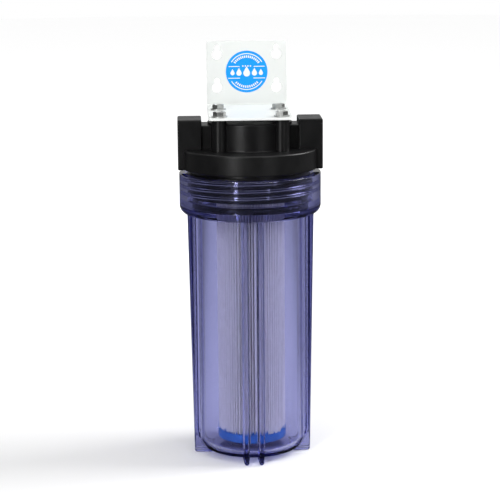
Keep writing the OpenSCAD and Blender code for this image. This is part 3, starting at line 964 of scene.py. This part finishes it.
def make_cap(name, node, side):
    """End cap with a soft rim. The plastic climbs a little way up each pleat."""
    low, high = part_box(node)
    outer_z, inner_z = (low.z, high.z) if side > 0 else (high.z, low.z)
    per_pleat = 6
    count = PLEATS * per_pleat
    angles = [2 * math.pi * i / count for i in range(count)]
    rim_climb = 0.1 * MM
    teeth = [random.uniform(TOOTH_LOW, TOOTH_HIGH) for _ in range(PLEATS)]
    crown = []
    for i in range(count):
        pleat = round(i / per_pleat)
        off_tip = abs(i % per_pleat - per_pleat * round(i % per_pleat / per_pleat)) / (per_pleat / 2)
        climb = teeth[pleat % PLEATS] * (1 - off_tip) ** 0.8
        crown.append(inner_z + side * (climb + rim_climb))
    teeth_out = MEDIA_R + 0.12 * MM
    teeth_in = MEDIA_R - 0.15 * MM
    teeth_root = MEDIA_R - 0.6 * MM
    levels = [(r, [z] * count) for r, z in cap_outline(outer_z, inner_z, side)]
    levels += [(teeth_out, crown), (teeth_in, crown), (teeth_root, [inner_z] * count)]
    bm = bmesh.new()
    rings = []
    for r, heights in levels:
        rings.append([bm.verts.new((r * math.cos(a), r * math.sin(a), z)) for a, z in zip(angles, heights)])
    for one, two in zip(rings, rings[1:] + rings[:1]):
        bridge(bm, one, two)
    stand_for(add(name, bm), node, "end_cap_plastic", "cartridge", 40, BLUE)


def finish_core():
    """The core keeps its CAD mesh and only gets its plastic."""
    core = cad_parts["cartridge_core"]
    core.data.materials.clear()
    core.data.materials.append(core_plastic())


# ---------------------------------------------------------------------------
# Stage
# ---------------------------------------------------------------------------


def ray_mix(tree, flag, otherwise, chosen):
    """One of two colours, by the kind of ray that asks."""
    path = tree.nodes.new("ShaderNodeLightPath")
    mix = tree.nodes.new("ShaderNodeMix")
    mix.data_type = "RGBA"
    tree.links.new(path.outputs[flag], mix.inputs["Factor"])
    for value, socket in ((otherwise, mix.inputs["A"]), (chosen, mix.inputs["B"])):
        if isinstance(value, tuple):
            socket.default_value = (*value, 1)
        else:
            tree.links.new(value, socket)
    return mix.outputs["Result"]


def calculate(tree, operation, *values):
    """Result of a math node on outputs or plain numbers."""
    made = tree.nodes.new("ShaderNodeMath")
    made.operation = operation
    for value, socket in zip(values, made.inputs):
        if isinstance(value, (int, float)):
            socket.default_value = value
        else:
            tree.links.new(value, socket)
    return made.outputs[0]


def ramp(tree, value, start, end, first, last):
    """Smooth change from a first to a last level while a value goes from start to end."""
    made = tree.nodes.new("ShaderNodeMapRange")
    made.interpolation_type = "SMOOTHSTEP"
    made.inputs["From Min"].default_value = start
    made.inputs["From Max"].default_value = end
    made.inputs["To Min"].default_value = first
    made.inputs["To Max"].default_value = last
    tree.links.new(value, made.inputs["Value"])
    return made.outputs["Result"]


def split_xyz(tree, vector):
    split = tree.nodes.new("ShaderNodeSeparateXYZ")
    tree.links.new(vector, split.inputs["Vector"])
    return split.outputs


def grey(level):
    return (level, level, level)


def make_floor():
    """White floor. It is dark in reflections, and grey at the sides and in front of what shows through."""
    bm = bmesh.new()
    bmesh.ops.create_circle(bm, cap_ends=True, radius=FLOOR_R, segments=96)
    floor = add("floor", bm)
    finish = Finish("floor_white", grey(FLOOR_WHITE), 0.75, Specular_IOR_Level=0.1)
    tree = finish.tree
    place = split_xyz(tree, finish.coords)
    across = calculate(tree, "ABSOLUTE", place["X"])
    sides = ramp(tree, across, SIDES_START, SIDES_END, FLOOR_THROUGH_MIDDLE, FLOOR_THROUGH_SIDES)
    front = ramp(tree, place["Y"], -0.16, -0.02, FLOOR_THROUGH_FRONT, FLOOR_THROUGH_MIDDLE)
    through = calculate(tree, "MINIMUM", sides, front)
    shown = ray_mix(tree, "Is Glossy Ray", grey(FLOOR_WHITE), grey(FLOOR_GLOSS))
    shown = ray_mix(tree, "Is Transmission Ray", shown, through)
    finish.link(shown, finish.shader.inputs["Base Color"])

    away = tree.nodes.new("ShaderNodeVectorMath")
    away.operation = "LENGTH"
    tree.links.new(finish.coords, away.inputs[0])
    glow = ramp(tree, away.outputs["Value"], start=0.3, end=1.2, first=0, last=FLOOR_FAR_GLOW)
    glow = ray_mix(tree, "Is Camera Ray", grey(0.0), glow)
    finish.link(glow, finish.shader.inputs["Emission Color"])
    finish.set("Emission Strength", 1.0)
    floor.data.materials.append(finish.material)


def make_world():
    """White backdrop for the camera, a darker room for reflections, and grey sides through the bowl."""
    world = bpy.data.worlds.new("studio")
    bpy.context.scene.world = world
    world.use_nodes = True
    tree = world.node_tree
    coords = tree.nodes.new("ShaderNodeTexCoord")
    way = split_xyz(tree, coords.outputs["Generated"])
    path = tree.nodes.new("ShaderNodeLightPath")
    bounced = calculate(tree, "MINIMUM", path.outputs["Diffuse Depth"], 1)
    bounce = ramp(tree, way["Y"], start=0.1, end=-0.4, first=BOUNCE_ROUND, last=BOUNCE_FRONT)
    bounce = calculate(tree, "MULTIPLY", bounce, bounced)
    across = calculate(tree, "ABSOLUTE", way["X"])
    through = ramp(tree, across, SIDES_START, SIDES_END, WORLD_THROUGH_MIDDLE, WORLD_THROUGH_SIDES)
    through = calculate(tree, "ADD", through, bounce)
    back = ramp(tree, way["Y"], start=-0.1, end=0.7, first=WORLD_GLOSS, last=WORLD_GLOSS_BACK)
    top = ramp(tree, way["Z"], start=0.5, end=0.95, first=0, last=WORLD_GLOSS_TOP)
    room = calculate(tree, "MAXIMUM", back, top)
    light = ramp(tree, way["Z"], start=0, end=0.6, first=WORLD_LIGHT_LOW, last=WORLD_LIGHT_HIGH)
    shown = ray_mix(tree, "Is Glossy Ray", light, room)
    shown = ray_mix(tree, "Is Transmission Ray", shown, through)
    shown = ray_mix(tree, "Is Camera Ray", shown, grey(1.0))
    background = tree.nodes["Background"]
    tree.links.new(shown, background.inputs["Color"])
    background.inputs["Strength"].default_value = 1.0


def panel(name, azimuth, height, distance, size, power):
    """Soft light round the filter, aimed at its middle. Azimuth 0 is the front and 90 the right side."""
    light = bpy.data.lights.new(name, "AREA")
    light.shape = "RECTANGLE"
    light.size, light.size_y = size
    light.energy = power
    obj = bpy.data.objects.new(name, light)
    a = math.radians(azimuth)
    obj.location = (distance * math.sin(a), -distance * math.cos(a), height)
    aim = Vector((0, 0, LIGHTS_AIM_Z)) - obj.location
    obj.rotation_euler = aim.to_track_quat("-Z", "Y").to_euler()
    bpy.context.scene.collection.objects.link(obj)


def make_lights():
    panel("front_left_strip", azimuth=-28, height=0.75, distance=1.9, size=(0.2, 1.4), power=15)
    panel("front_right_strip", azimuth=30, height=0.75, distance=2.2, size=(0.22, 1.4), power=5)
    panel("right_side", azimuth=98, height=1.35, distance=1.8, size=(1.1, 1.1), power=36)
    panel("overhead", azimuth=0, height=2.4, distance=0.35, size=(2.4, 2.4), power=15)


def make_camera():
    """Long lens in front of the filter and a little above it, looking slightly down."""
    camera = bpy.data.cameras.new("camera")
    camera.lens = LENS
    camera.sensor_width = SENSOR
    obj = bpy.data.objects.new("camera", camera)
    bpy.context.scene.collection.objects.link(obj)
    azimuth = math.radians(CAMERA_AZIMUTH)
    elevation = math.radians(CAMERA_ELEVATION)
    level = math.cos(elevation)
    back = Vector((math.sin(azimuth) * level, -math.cos(azimuth) * level, math.sin(elevation)))
    place = Matrix.Translation(CAMERA_TARGET + back * CAMERA_DISTANCE)
    turn = (-back).to_track_quat("-Z", "Y").to_matrix().to_4x4()
    obj.matrix_world = place @ turn @ Matrix.Rotation(math.radians(CAMERA_ROLL), 4, "Z")
    bpy.context.scene.camera = obj


def set_render():
    """Plain colours, and enough bounces for light to pass the bowl's many walls."""
    scene = bpy.context.scene
    scene.view_settings.view_transform = "Standard"
    scene.cycles.max_bounces = 20
    scene.cycles.transmission_bounces = 20
    scene.cycles.glossy_bounces = 8


BLUE = plastisol()
make_camera()
make_bowl()
make_seal()
make_head()
make_bracket()
make_screws()
make_label()
make_media()
make_cap("low_end_cap", "cartridge_bottom_cap", 1)
make_cap("top_end_cap", "cartridge_top_cap", -1)
finish_core()
make_floor()
make_world()
make_lights()
set_render()
